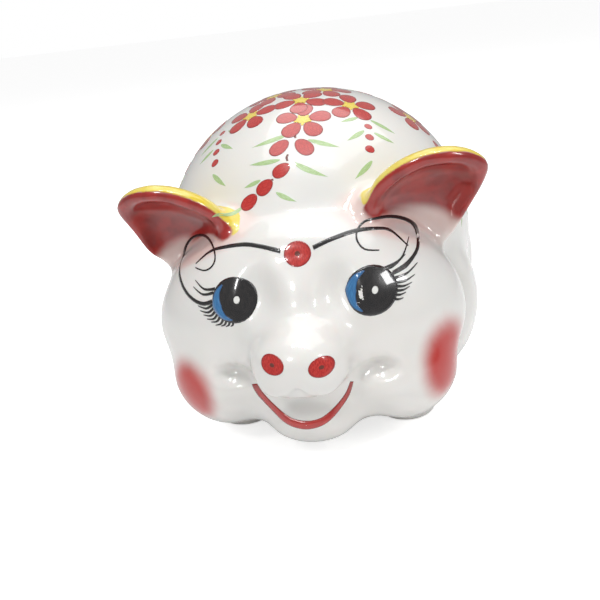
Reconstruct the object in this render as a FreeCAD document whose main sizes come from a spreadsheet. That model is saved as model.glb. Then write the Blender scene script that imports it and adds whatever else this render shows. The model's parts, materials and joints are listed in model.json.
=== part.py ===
import FreeCAD, Part
import math
import os

import Sketcher

# A slip-cast ceramic piggy bank, in millimetres.
# Frame: +Z up, the pig looks along -Y and its left side is +X. The origin is on the ground, under the
# middle of its length. The casting is a family of ellipsoid swellings, as a potter builds up the model
# that the plaster mould is taken from; the cavity is the same family, smaller by the wall all over.
SIZES = {
    # wall of the casting
    "wall": 4.5,
    # trunk, its centre this far behind the origin
    "trunk_half_width": 92,
    "trunk_half_length": 94,
    "trunk_half_height": 87.5,
    "trunk_back": 25,
    "belly_clearance": 5,
    # head, its centre forward of the trunk's
    "head_half_width": 82,
    "head_half_depth": 40,
    "head_half_height": 60,
    "head_forward": 82,
    "head_clearance": 12,
    "head_lean": 14.6,
    # cheeks, forward of the head's centre
    "cheek_half_width": 32,
    "cheek_half_depth": 30,
    "cheek_half_height": 33,
    "cheek_out": 45,
    "cheek_forward": 8,
    "cheek_clearance": 15,
    # snout
    "snout_half_width": 26,
    "snout_half_depth": 25,
    "snout_half_height": 19,
    "snout_forward": 42,
    "snout_drop": 4,
    # chin
    "chin_half_width": 28,
    "chin_half_depth": 22,
    "chin_half_height": 19,
    "chin_forward": 23,
    "chin_clearance": 11,
    # haunches, behind the trunk's centre
    "haunch_half_width": 37,
    "haunch_half_length": 47,
    "haunch_half_height": 54,
    "haunch_out": 59,
    "haunch_behind": 23,
    "haunch_clearance": 11,
    # shoulders, ahead of the trunk's centre
    "shoulder_half_width": 33,
    "shoulder_half_length": 33,
    "shoulder_half_height": 47,
    "shoulder_out": 60,
    "shoulder_forward": 36,
    "shoulder_clearance": 12,
    # feet: each leg flares upwards and stops at the skin of the body
    "foot_radius": 17,
    "foot_edge": 3,
    "leg_flare": 5,
    "leg_sink": 40,
    "front_foot_inboard": 12,
    "front_foot_forward": 25,
    "rear_foot_inboard": 9,
    "rear_foot_behind": 19,
    # ears: leaf-shaped cups, hooded forwards. They are set on by eye, so the left one sits higher
    "ear_half_length": 36,
    "ear_half_breadth": 30,
    "ear_half_thickness": 13,
    "ear_wall": 5,
    "ear_scoop_shift": 8,
    "ear_inset": 18,
    "ear_behind": 3,
    "left_ear_drop": 4,
    "right_ear_drop": 11,
    # curled tail, laid on the rump
    "tail_radius": 4,
    "tail_curl": 11,
    "tail_embed": 3,
    "tail_drop": 3,
    # coin slot, along the spine
    "slot_length": 36,
    "slot_width": 5,
    "slot_behind": 51,
    # belly hole and its stopper
    "hole_radius": 15,
    "seat_depth": 2.2,
    "seat_gap": 0.5,
    "plug_clearance": 0.06,
    "flange_lip": 4,
    "plug_height": 12,
    "plug_wall": 3,
    "rib_height": 1.6,
    "rib_depth": 0.9,
    "grip_depth": 6.5,
    "grip_web": 2,
    "bar_half_width": 2,
    "bar_recess": 0.4,
}
RIB_COUNT = 3
# An ear's own axes on the pig's left: along its length, and the way its cup opens
EAR_LENGTH_WAY = (0.81, -0.20, 0.55)
EAR_OPEN_WAY = (0.15, -0.85, -0.45)
# Turns of the tail's outer and inner curl, in degrees from the pig's left, upwards
TAIL_ROOT, TAIL_TURN, TAIL_TIP = 300, 520, 690
REACH = 400  # longer than the whole bank, for cutters that run right out of it

# Centres that several pieces share, as expressions in the sizes' names
TRUNK = ("0", "trunk_back", "belly_clearance + trunk_half_height")
HEAD = ("0", "trunk_back - head_forward", "head_clearance + head_half_height")
SHOULDER = ("shoulder_out", "trunk_back - shoulder_forward", "shoulder_clearance + shoulder_half_height")
HAUNCH = ("haunch_out", "trunk_back + haunch_behind", "haunch_clearance + haunch_half_height")
PLUG_RADIUS = "hole_radius - plug_clearance"
FLANGE_RADIUS = "hole_radius + flange_lip"

doc = FreeCAD.newDocument("piggy_bank")


# ---------------------------------------------------------------- sizes


def make_sheet():
    """Puts each driving size in a cell of its own, under its alias."""
    sheet = doc.addObject("Spreadsheet::Sheet", "Sizes")
    for row, (name, size) in enumerate(SIZES.items(), start=1):
        sheet.set(f"A{row}", name)
        sheet.set(f"B{row}", str(size))
        sheet.setAlias(f"B{row}", name)
    doc.recompute()


def bound(text):
    """Turns each size name in an expression into a reference to the sheet."""
    return " ".join(f"Sizes.{word}" if word in SIZES else word for word in text.split())


def number(text):
    """Adds up a plain sum of size names and numbers, such as "wall + 2 - rib_depth"."""
    total, sign = 0.0, 1.0
    for word in text.split():
        if word in ("+", "-"):
            sign = 1.0 if word == "+" else -1.0
        else:
            total += sign * float(SIZES.get(word, word))
    return total


def bind(thing, **properties):
    for name, text in properties.items():
        thing.setExpression(name, bound(text))


def place(thing, centre):
    """Binds a thing's place to three expressions."""
    for axis, text in zip("xyz", centre):
        thing.setExpression(f"Placement.Base.{axis}", bound(text))


def other_side(centre):
    """The same centre on the pig's right."""
    return (f"-1 * ( {centre[0]} )", *centre[1:])


# ---------------------------------------------------------------- swellings and booleans


def swelling(name, centre, half, turn=None):
    """An ellipsoid, with its centre and its half sizes along X, Y and Z as expressions."""
    blob = doc.addObject("Part::Ellipsoid", name)
    bind(blob, Radius2=half[0], Radius3=half[1], Radius1=half[2])
    if turn:
        blob.Placement = FreeCAD.Placement(FreeCAD.Vector(), turn)
    place(blob, centre)
    return blob


def swellings(layer, inset=""):
    """The whole family for one skin of the casting, each half size less the inset."""

    def grown(part, centre, ways, turn=None):
        half = [f"{part}_half_{way}{inset}" for way in ways]
        return swelling(f"{part}_{layer}", centre, half, turn)

    across, along = ("width", "depth", "height"), ("width", "length", "height")
    lean = FreeCAD.Rotation(FreeCAD.Vector(1, 0, 0), -SIZES["head_lean"])
    snout = ("0", f"{HEAD[1]} - snout_forward", f"{HEAD[2]} - snout_drop")
    chin = ("0", f"{HEAD[1]} - chin_forward", "chin_clearance + chin_half_height")
    cheek = ("cheek_out", f"{HEAD[1]} - cheek_forward", "cheek_clearance + cheek_half_height")
    blobs = [
        grown("trunk", TRUNK, along),
        grown("head", HEAD, across, lean),
        grown("snout", snout, across),
        grown("chin", chin, across),
    ]
    pairs = (("cheek", cheek, across), ("shoulder", SHOULDER, along), ("haunch", HAUNCH, along))
    for part, centre, ways in pairs:
        blobs += [grown(part, centre, ways), grown(part, other_side(centre), ways)]
    return blobs


def fuse(name, shapes):
    """Joins shapes one after another, because the swellings close up best in that order."""
    whole = shapes[0]
    for count, shape in enumerate(shapes[1:], start=1):
        joined = doc.addObject("Part::Fuse", name if count == len(shapes) - 1 else f"{name}_{count}")
        joined.Base = whole
        joined.Tool = shape
        whole = joined
    return whole


def cut(label, base, tool):
    rest = doc.addObject("Part::Cut", label)
    rest.Base = base
    rest.Tool = tool
    return rest


# ---------------------------------------------------------------- sketches


def new_sketch(body, name, role="XY_Plane"):
    """A sketch on one of its own body's origin planes."""
    sketch = body.newObject("Sketcher::SketchObject", name)
    plane = next(feature for feature in body.Origin.OriginFeatures if feature.Role == role)
    sketch.AttachmentSupport = [(plane, "")]
    sketch.MapMode = "FlatFace"
    return sketch


def dimension(sketch, kind, *where, to):
    """Adds a dimension that follows the sheet. It starts at the size that it will have."""
    index = sketch.addConstraint(Sketcher.Constraint(kind, *where, number(to)))
    sketch.setExpression(f"Constraints[{index}]", bound(to))


def centred_circle(sketch, radius):
    sketch.addGeometry(Part.Circle(FreeCAD.Vector(), FreeCAD.Vector(0, 0, 1), number(radius)))
    sketch.addConstraint(Sketcher.Constraint("Coincident", 0, 3, -1, 1))
    dimension(sketch, "Radius", 0, to=radius)


def outline(sketch, corners):
    """A closed outline of straight lines through corners, each given as two plain sums."""
    points = [FreeCAD.Vector(number(x), number(y), 0) for x, y in corners]
    for start, end in zip(points, points[1:] + points[:1]):
        sketch.addGeometry(Part.LineSegment(start, end))
    for line in range(len(corners)):
        following = (line + 1) % len(corners)
        sketch.addConstraint(Sketcher.Constraint("Coincident", line, 2, following, 1))
    for line, (x, y) in enumerate(corners):
        for kind, text, axis in (("DistanceX", x, -2), ("DistanceY", y, -1)):
            if number(text) == 0:
                sketch.addConstraint(Sketcher.Constraint("PointOnObject", line, 1, axis))
            else:
                dimension(sketch, kind, -1, 1, line, 1, to=text)


def pad(body, sketch, name, **properties):
    feature = body.newObject("PartDesign::Pad", name)
    feature.Profile = sketch
    bind(feature, **properties)
    return feature


# ---------------------------------------------------------------- body shell


def coin_slot_cutter():
    """A bar with round ends that stands up through the back, as wide and as long as the slot.
    It is one clean extruded outline, which cuts the swellings' curved walls where a fused bar can fail."""
    sheet = doc.getObject("Sizes")
    radius = sheet.slot_width / 2
    straight = sheet.slot_length / 2 - radius
    sides = []
    for way in (1, -1):
        first = FreeCAD.Vector(way * radius, way * straight, 0)
        tip = FreeCAD.Vector(0, way * (straight + radius), 0)
        last = FreeCAD.Vector(-way * radius, way * straight, 0)
        following = FreeCAD.Vector(-way * radius, -way * straight, 0)
        sides += [Part.Arc(first, tip, last).toShape(), Part.LineSegment(last, following).toShape()]
    cutter = doc.addObject("Part::Feature", "slot_cutter")
    cutter.Shape = Part.Face(Part.Wire(sides)).extrude(FreeCAD.Vector(0, 0, REACH))
    place(cutter, ("0", "trunk_back + slot_behind", TRUNK[2]))
    return cutter


def belly_bar(name, radius, top):
    """A round bar on the stopper's axis, from far below up to a height."""
    bar = doc.addObject("Part::Cylinder", name)
    bind(bar, Radius=radius, Height=f"{REACH} + {top}")
    place(bar, ("0", "trunk_back", f"-{REACH}"))
    return bar


def body_shell(skin):
    """The hollow casting: an even wall, with the coin slot, the belly hole and the flat land round it."""
    seat_top = "belly_clearance + seat_depth"
    inside = [
        fuse("cavity", swellings("cavity", " - wall")),
        coin_slot_cutter(),
        belly_bar("belly_hole", "hole_radius", TRUNK[2]),
        belly_bar("stopper_seat", f"{FLANGE_RADIUS} + seat_gap", seat_top),
    ]
    return cut("body_shell", skin, fuse("inside", inside))


# ---------------------------------------------------------------- ears, tail, feet


def ear(side, skin):
    """A leaf-shaped cup on a slanting axis, which ends on the skin of the head."""
    across = 1 if side == "left" else -1
    length_way, open_way = (
        FreeCAD.Vector(across * x, y, z) for x, y, z in (EAR_LENGTH_WAY, EAR_OPEN_WAY)
    )
    turn = FreeCAD.Rotation(length_way, FreeCAD.Vector(), open_way, "XZY")
    centre = (
        f"{across} * ( head_half_width - ear_inset )",
        f"{HEAD[1]} + ear_behind",
        f"{HEAD[2]} + head_half_height - {side}_ear_drop",
    )
    leaf_half = ("ear_half_length", "ear_half_breadth", "ear_half_thickness")
    leaf = swelling(f"{side}_ear_leaf", centre, leaf_half, turn)
    opens = turn.multVec(FreeCAD.Vector(0, 0, 1))
    scoop_centre = [f"{text} + {way:.6f} * ear_scoop_shift" for text, way in zip(centre, opens)]
    scoop_half = (
        "ear_half_length - ear_wall",
        "ear_half_breadth - ear_wall",
        "ear_half_thickness - ear_wall + ear_scoop_shift",
    )
    scoop = swelling(f"{side}_ear_scoop", scoop_centre, scoop_half, turn)
    return cut(f"{side}_ear", cut(f"{side}_ear_cup", leaf, scoop), skin)


def tail(skin):
    """A round strand that curls one and a quarter turns, flat on the rump and half sunk in it.
    It is two bends, the inner one half the size, with a ball on each end."""
    centre = ("0", "trunk_back + trunk_half_length + tail_radius - tail_embed", f"{TRUNK[2]} - tail_drop")

    def moved(share, angle):
        """The tail's centre, moved by a share of the curl's radius at an angle."""
        across, up = (share * ratio(math.radians(angle)) for ratio in (math.cos, math.sin))
        return (f"{across:.6f} * tail_curl", centre[1], f"{centre[2]} + {up:.6f} * tail_curl")

    strands = []
    for name, share, middle, first, last in (
        ("outer_curl", 1, centre, TAIL_ROOT, TAIL_TURN),
        ("inner_curl", 0.5, moved(0.5, TAIL_TURN), TAIL_TURN, TAIL_TIP),
    ):
        bend = doc.addObject("Part::Torus", name)
        bind(bend, Radius1=f"{share} * tail_curl", Radius2="tail_radius")
        bend.Angle3 = last - first
        start = FreeCAD.Rotation(FreeCAD.Vector(0, 0, 1), first)
        upright = FreeCAD.Rotation(FreeCAD.Vector(1, 0, 0), 90)
        bend.Placement = FreeCAD.Placement(FreeCAD.Vector(), upright * start)
        place(bend, middle)
        strands.append(bend)
    tip_x, tip_y, tip_z = moved(0.5, TAIL_TURN)
    across, up = (0.5 * ratio(math.radians(TAIL_TIP)) for ratio in (math.cos, math.sin))
    tip = (f"{tip_x} + {across:.6f} * tail_curl", tip_y, f"{tip_z} + {up:.6f} * tail_curl")
    for name, middle in (("tail_root", moved(1, TAIL_ROOT)), ("tail_tip", tip)):
        ball = doc.addObject("Part::Sphere", name)
        bind(ball, Radius="tail_radius")
        place(ball, middle)
        strands.append(ball)
    return cut("tail", fuse("tail_strand", strands), skin)


def foot(label, centre, skin):
    """A short leg, flat underneath with a rounded edge, which ends on the skin of the body."""
    leg = doc.addObject("PartDesign::Body", f"{label}_leg")
    sole = new_sketch(leg, f"{label}_sole")
    centred_circle(sole, "foot_radius")
    column = pad(leg, sole, f"{label}_column", Length="belly_clearance + leg_sink", TaperAngle="leg_flare")
    doc.recompute()
    edges = column.Shape.Edges
    lowest = min(range(len(edges)), key=lambda index: edges[index].BoundBox.ZMax)
    rounded = leg.newObject("PartDesign::Fillet", f"{label}_edge")
    rounded.Base = (column, [f"Edge{lowest + 1}"])
    bind(rounded, Radius="foot_edge")
    leg.Tip = rounded
    place(leg, (centre[0], centre[1], "0"))
    return cut(label, leg, skin)


def feet(skin):
    front = (f"{SHOULDER[0]} - front_foot_inboard", f"{SHOULDER[1]} - front_foot_forward")
    rear = (f"{HAUNCH[0]} - rear_foot_inboard", f"{HAUNCH[1]} + rear_foot_behind")
    return [
        foot("front_left_foot", front, skin),
        foot("front_right_foot", other_side(front), skin),
        foot("rear_left_foot", rear, skin),
        foot("rear_right_foot", other_side(rear), skin),
    ]


# ---------------------------------------------------------------- stopper


def belly_stopper():
    """A soft plug, turned about its axis: a flange in the belly's seat, a ribbed neck that fills the hole,
    and a web between a hollow above and a finger recess below, with a bar across to pull by.
    The ribs are drawn as they are when the hole squeezes them."""
    body = doc.addObject("PartDesign::Body", "belly_stopper")
    neck = f"{PLUG_RADIUS} - rib_depth"
    bore = f"{neck} - plug_wall"
    top = "seat_depth + plug_height"
    corners = [("0", "grip_depth"), (bore, "grip_depth"), (bore, "0"), (FLANGE_RADIUS, "0")]
    corners += [(FLANGE_RADIUS, "seat_depth"), (PLUG_RADIUS, "seat_depth")]
    height = "seat_depth"
    for rib in range(RIB_COUNT):
        rib_top = f"{height} + rib_height"
        groove_top = f"{rib_top} + rib_height"
        corners += [(PLUG_RADIUS, rib_top), (neck, rib_top)]
        if rib < RIB_COUNT - 1:
            corners += [(neck, groove_top), (PLUG_RADIUS, groove_top)]
        height = groove_top
    corners += [(neck, top), (bore, top), (bore, "grip_depth + grip_web"), ("0", "grip_depth + grip_web")]
    profile = new_sketch(body, "stopper_profile", "XZ_Plane")
    outline(profile, corners)
    turned = body.newObject("PartDesign::Revolution", "stopper_turned")
    turned.Profile = profile
    turned.ReferenceAxis = (profile, ["V_Axis"])
    turned.Angle = 360
    bar = new_sketch(body, "grip_bar_section", "XZ_Plane")
    left, right = "0 - bar_half_width", "bar_half_width"
    outline(bar, [(left, "bar_recess"), (right, "bar_recess"), (right, "grip_depth"), (left, "grip_depth")])
    # The bar runs a little into the wall of the recess at both ends
    across = pad(body, bar, "grip_bar", Length=f"2 * ( {bore} ) + plug_wall")
    across.Midplane = True
    place(body, ("0", "trunk_back", "belly_clearance"))
    return body


# ---------------------------------------------------------------- assembly

make_sheet()
skin = fuse("skin", swellings("skin"))
pieces = [
    body_shell(skin),
    ear("left", skin),
    ear("right", skin),
    tail(skin),
    *feet(skin),
    belly_stopper(),
]
doc.recompute()

failed = [thing.Name for thing in doc.Objects if {"Invalid", "Error"} & set(thing.State)]
if failed:
    raise RuntimeError(f"these did not build: {failed}")
for piece in pieces:
    if piece.Shape.isNull() or not piece.Shape.isValid() or len(piece.Shape.Solids) != 1:
        raise RuntimeError(f"{piece.Label} is not one sound solid")

# Both ways into the cavity are open: a thin rod stands in each without meeting the casting
sheet = doc.getObject("Sizes")
middle = sheet.belly_clearance + sheet.trunk_half_height
for opening, y, bottom in (
    ("coin slot", sheet.trunk_back + sheet.slot_behind, middle),
    ("belly hole", sheet.trunk_back, middle - REACH),
):
    rod = Part.makeCylinder(sheet.slot_width / 4, REACH, FreeCAD.Vector(0, y, bottom))
    if pieces[0].Shape.common(rod).Volume > 1:
        raise RuntimeError(f"the {opening} is not open")

os.makedirs("parts", exist_ok=True)
for piece in pieces:
    piece.Shape.exportStep(f"parts/{piece.Label}.step")
    box = piece.Shape.BoundBox
    corners = [round(size, 2) for size in (box.XMin, box.YMin, box.ZMin, box.XMax, box.YMax, box.ZMax)]
    print(f"{piece.Label:18} {piece.Shape.Volume:12.1f} mm3  box {corners}")
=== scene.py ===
import json
import math

import bmesh
import bpy
import numpy as np
from mathutils import Matrix, Vector, kdtree
from mathutils.bvhtree import BVHTree

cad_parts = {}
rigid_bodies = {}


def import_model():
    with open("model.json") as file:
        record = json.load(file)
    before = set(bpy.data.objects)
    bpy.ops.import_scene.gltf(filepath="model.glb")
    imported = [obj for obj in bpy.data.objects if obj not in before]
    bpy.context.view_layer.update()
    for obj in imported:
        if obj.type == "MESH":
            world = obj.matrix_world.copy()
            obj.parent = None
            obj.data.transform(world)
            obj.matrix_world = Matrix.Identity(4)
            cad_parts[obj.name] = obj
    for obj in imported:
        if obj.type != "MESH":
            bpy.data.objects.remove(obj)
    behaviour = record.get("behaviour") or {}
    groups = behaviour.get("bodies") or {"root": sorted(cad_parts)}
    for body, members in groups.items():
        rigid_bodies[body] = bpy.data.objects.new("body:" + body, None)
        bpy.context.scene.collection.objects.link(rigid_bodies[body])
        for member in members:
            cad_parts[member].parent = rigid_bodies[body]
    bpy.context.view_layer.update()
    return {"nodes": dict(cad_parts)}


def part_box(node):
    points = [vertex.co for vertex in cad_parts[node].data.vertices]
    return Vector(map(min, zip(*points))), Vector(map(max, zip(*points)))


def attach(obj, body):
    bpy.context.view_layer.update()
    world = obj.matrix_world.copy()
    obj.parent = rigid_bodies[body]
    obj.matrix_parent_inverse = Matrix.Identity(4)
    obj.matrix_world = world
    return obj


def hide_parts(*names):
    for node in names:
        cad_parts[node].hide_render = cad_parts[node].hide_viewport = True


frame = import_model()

MM = 0.001

# %% [markdown]
# # A hand-painted ceramic piggy bank
# The bank is one fired piece of clay: the body is slip-cast in a plaster mould, and the ears, tail and feet
# are stuck on with wet clay before the kiln. After firing nobody can see where they were joined, so the
# looks need one skin without seams. We take the ceramic parts from the frame, melt them into a single
# surface, and then wipe and press the soft details into it, as the potter does with a damp sponge and a
# thumb. Here we set up the small helpers that every later step uses.

# %% Helpers for picking and finishing


def select_only(*things):
    """Operators act on whatever is selected, so each step says what that is."""
    bpy.ops.object.select_all(action="DESELECT")
    for thing in things:
        thing.select_set(True)
    bpy.context.view_layer.objects.active = things[0]


def apply_modifier(thing, kind, **settings):
    """Adds a modifier, sets it and applies it at once."""
    select_only(thing)
    modifier = thing.modifiers.new(kind.title(), kind)
    for name, setting in settings.items():
        setattr(modifier, name, setting)
    bpy.ops.object.modifier_apply(modifier=modifier.name)


def copy_of(things, name):
    """One new mesh object that holds copies of several meshes."""
    copies = []
    for thing in things:
        twin = thing.copy()
        twin.data = thing.data.copy()
        twin.parent = None
        for key in list(twin.keys()):
            del twin[key]
        bpy.context.scene.collection.objects.link(twin)
        copies.append(twin)
    select_only(*copies)
    if len(copies) > 1:
        bpy.ops.object.join()
    whole = bpy.context.object
    whole.name = name
    whole.data.name = name
    # The frame's meshes carry their own normals, which would show the old creases after reshaping
    bpy.ops.mesh.customdata_custom_splitnormals_clear()
    return whole


def edit(thing, mode="VERT"):
    """Edit mode, with nothing picked."""
    select_only(thing)
    bpy.ops.object.mode_set(mode="EDIT")
    bpy.ops.mesh.select_mode(type=mode)
    bpy.ops.mesh.select_all(action="DESELECT")


def done():
    bpy.ops.object.mode_set(mode="OBJECT")


def points_of(thing):
    """The mesh's points as an array, one row each."""
    places = np.empty(len(thing.data.vertices) * 3)
    thing.data.vertices.foreach_get("co", places)
    return places.reshape(-1, 3)


def move_points(thing, places):
    thing.data.vertices.foreach_set("co", places.ravel())
    thing.data.update()


def size_note(thing):
    thing.data.calc_loop_triangles()
    print(f"{thing.name}: {len(thing.data.vertices)} points, {len(thing.data.loop_triangles)} triangles")


# %% [markdown]
# ## The outer skin of the casting
# In the frame, the casting is a real hollow shell, so its mesh has an inside and an outside, joined through
# the coin slot and the belly hole. Cutting away the walls of those two openings sets the outer skin free,
# and the two holes are then closed. A second copy keeps the cavity's wall for later. Copying the frame's
# own mesh keeps the pig exactly as large as the part.

# %% Free the outer skin
nodes = frame["nodes"]
SLOT_HALF = (2.5 * MM, 18 * MM)   # half width and half length of the coin slot
HOLE_RADIUS = 15 * MM
SEAT_RADIUS = 19.5 * MM
SLOT_BEHIND_HOLE = 51 * MM
REACH = 0.05 * MM                 # faces this near to an opening belong to it
UPPER_HALF = 0.12                 # the coin slot's faces lie above this height
UPRIGHT = 0.05                    # the most that the normal of an upright face leans
MERGE = 0.01 * MM                 # points nearer to each other than this are one point

stopper_low, stopper_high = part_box("belly_stopper")
hole_centre = (stopper_low + stopper_high) / 2
slot_centre = Vector((0, hole_centre.y + SLOT_BEHIND_HOLE, 0))

skin = copy_of([nodes["body_shell"]], "clay_skin")
skin.data.materials.clear()
edit(skin, "FACE")
bpy.ops.mesh.select_all(action="SELECT")
bpy.ops.mesh.remove_doubles(threshold=MERGE)
bpy.ops.mesh.select_all(action="DESELECT")
sketch = bmesh.from_edit_mesh(skin.data)
for face in sketch.faces:
    centre = face.calc_center_median()
    from_hole = (centre - hole_centre).xy.length
    in_hole = centre.z < stopper_high.z and from_hole < SEAT_RADIUS + REACH
    beside, along = abs(centre.x), abs(centre.y - slot_centre.y)
    in_slot = centre.z > UPPER_HALF and beside < SLOT_HALF[0] + REACH and along < SLOT_HALF[1] + REACH
    face.select = in_hole or (in_slot and abs(face.normal.z) < UPRIGHT)
bmesh.update_edit_mesh(skin.data)
bpy.ops.mesh.delete(type="FACE")
done()
cavity = copy_of([skin], "cavity_wall")
print("faces left:", len(skin.data.polygons))

# %% Keep the outside, close the two holes


def pick_outermost(thing):
    """Picks the loose part that reaches furthest forward, to the snout's tip."""
    foremost = int(points_of(thing)[:, 1].argmin())
    edit(thing)
    sketch = bmesh.from_edit_mesh(thing.data)
    sketch.verts.ensure_lookup_table()
    sketch.verts[foremost].select = True
    bmesh.update_edit_mesh(thing.data)
    bpy.ops.mesh.select_linked()


def keep_outermost(thing):
    pick_outermost(thing)
    bpy.ops.mesh.select_all(action="INVERT")
    bpy.ops.mesh.delete(type="VERT")
    done()


def close_holes(thing):
    edit(thing, "EDGE")
    bpy.ops.mesh.select_non_manifold()
    bpy.ops.mesh.fill_holes(sides=0)
    done()


keep_outermost(skin)
close_holes(skin)
size_note(skin)
pick_outermost(cavity)
bpy.ops.mesh.delete(type="VERT")
done()
close_holes(cavity)
size_note(cavity)

# %% [markdown]
# ## One skin for all the clay
# Copies of the ears, tail and feet are joined on, and a voxel remesh melts everything into one closed skin
# of even quads, as wet clay and glaze do. Booleans would do it too, but they leave long thin triangles that
# smooth badly. The voxels are 1.6 mm, fine enough for the ears' rims.

# %% Melt the pieces together
VOXEL = 1.6 * MM


def ear_axes(side):
    """An ear's middle, its length, its breadth towards the top edge and the way its cup opens."""
    along = Vector((0.81 * side, -0.20, 0.55)).normalized()
    opens = Vector((0.15 * side, -0.85, -0.45))
    opens = (opens - opens.dot(along) * along).normalized()
    across = opens.cross(along) * side
    middle = Vector((64 * side, -54, 128 if side > 0 else 121)) * MM
    return tuple(np.array(way) for way in (middle, along, across, opens))


LUTED = ("left_ear", "right_ear", "tail",
         "front_left_foot", "front_right_foot", "rear_left_foot", "rear_right_foot")

luted_on = copy_of([nodes[name] for name in LUTED], "luted_on")
luted_on.data.materials.clear()
edit(luted_on)
bpy.ops.mesh.select_all(action="SELECT")
bpy.ops.mesh.remove_doubles(threshold=MERGE)
done()

# The frame's ears are oval cups. The lower edge of each is pared straight, which leaves a pointed tip.
places = points_of(luted_on)
for side in (1, -1):
    middle, along, across, opens = ear_axes(side)
    a, b = (places - middle) @ along, (places - middle) @ across
    on_ear = (np.abs(places[:, 0]) > 25 * MM) & (places[:, 2] > 85 * MM) & (places[:, 0] * side > 0)
    oval = 30 * MM * np.sqrt(np.clip(1 - (a / (36.5 * MM)) ** 2, 0.01, 1))
    pared = np.clip((6 * MM + 0.6 * (35 * MM - a)) / oval, 0.1, 1)
    lower = on_ear & (b < 0) & (a > -6 * MM)
    places[lower] += np.outer((b * (pared - 1))[lower], across)
move_points(luted_on, places)

select_only(skin, luted_on)
bpy.ops.object.join()
skin.data.remesh_voxel_size = VOXEL
bpy.ops.object.voxel_remesh()
keep_outermost(skin)
size_note(skin)

# %% [markdown]
# ## Wiping the creases
# Where two swellings meet there is a sharp groove. A potter fills it with slip and wipes it round. The skin
# is hollow there, so a point lies below the average of its neighbours: that is how the code finds the
# grooves. A vertex group then fades out with the distance from the nearest groove, and a Smooth modifier
# works only inside it, so that the round places keep their size.

# %% Find the grooves
GROOVE_DEPTH = 0.09 * MM
BLUR_ROUNDS = 12
TAIL_SHARE = 0.01        # the tail stays crisp
LEAST_STRENGTH = 0.0005  # points wiped less than this are left out


def neighbour_average(thing, places):
    edges = np.empty(len(thing.data.edges) * 2, dtype=int)
    thing.data.edges.foreach_get("vertices", edges)
    one, other = edges.reshape(-1, 2).T
    count = np.bincount(np.concatenate((one, other)), minlength=len(places))
    total = np.zeros_like(places)
    for axis in range(3):
        total[:, axis] = np.bincount(one, places[other, axis], len(places))
        total[:, axis] += np.bincount(other, places[one, axis], len(places))
    return total / count[:, None]


def normals_of(thing):
    normals = np.empty(len(thing.data.vertices) * 3)
    thing.data.vertex_normals.foreach_get("vector", normals)
    return normals.reshape(-1, 3)


def groove_points(thing):
    places = points_of(thing)
    hollow = ((neighbour_average(thing, places) - places) * normals_of(thing)).sum(1)
    return places[hollow > GROOVE_DEPTH]


def wiping_width(place):
    """How far each groove is wiped out to either side, in metres."""
    x, y, z = place / MM
    if z < 32 and abs(x) > 25 and (abs(y + 36) < 24 or abs(y - 67) < 24):
        return 9 * MM    # round the feet
    if y > 112:
        return 3 * MM    # round the tail
    if abs(x) > 38 and z > 98 and y < -25:
        return 11 * MM   # at the roots of the ears
    if y < -84 and abs(x) < 48:
        return 13 * MM if z < 62 else 22 * MM   # under the snout, and above it
    return 34 * MM if z > 95 else 20 * MM       # the neck, and the flanks


grooves = [(Vector(place), wiping_width(place)) for place in groove_points(skin)]
print(len(grooves), "points lie in grooves")

# %% Wipe them


def wipe(thing, rounds):
    """Smooths round the grooves, with a strength that fades to nothing at each groove's own width."""
    tree = kdtree.KDTree(len(grooves))
    for index, (place, width) in enumerate(grooves):
        tree.insert(place, index)
    tree.balance()
    strength = np.zeros(len(thing.data.vertices))
    for vertex in thing.data.vertices:
        place, index, distance = tree.find(vertex.co)
        strength[vertex.index] = max(0, 1 - distance / grooves[index][1]) ** 2.5
    for round_of_blur in range(BLUR_ROUNDS):
        strength = neighbour_average(thing, np.repeat(strength[:, None], 3, axis=1))[:, 0]
    across, back, up = (points_of(thing) / MM).T
    strength[(back > 112) & (np.abs(across) < 22) & (up > 60)] *= TAIL_SHARE
    group = thing.vertex_groups.new(name="groove")
    for index in np.flatnonzero(strength > LEAST_STRENGTH):
        group.add([int(index)], float(strength[index]), "REPLACE")
    apply_modifier(thing, "SMOOTH", factor=0.5, iterations=rounds, vertex_group="groove")
    thing.vertex_groups.clear()


wipe(skin, 300)

# %% [markdown]
# ## Pressing the face
# The face is modelled with soft presses of a thumb: two eye sockets, a ridge down the nose, a brow, the
# dimples at the ends of the smile, full cheeks, and a mouth that is pushed in under the snout. Each press
# moves the points inside an oval reach, most in the middle and not at all at its edge, so no press leaves a
# mark of its own. Proportional editing does the same by hand; in code the ovals can be given their size and
# place exactly.

# %% Soft presses


def press(places, middle, reach, shift):
    """Moves the points inside an oval, softly. All sizes are in millimetres."""
    distance = (((places / MM - middle) / reach) ** 2).sum(1)
    strength = np.clip(1 - distance, 0, None) ** 2
    places += np.outer(strength, shift) * MM


def press_pair(places, middle, reach, shift):
    """The same press on both sides of the face."""
    for side in (1, -1):
        flip = np.array((side, 1, 1))
        press(places, middle * flip, reach, shift * flip)


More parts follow.
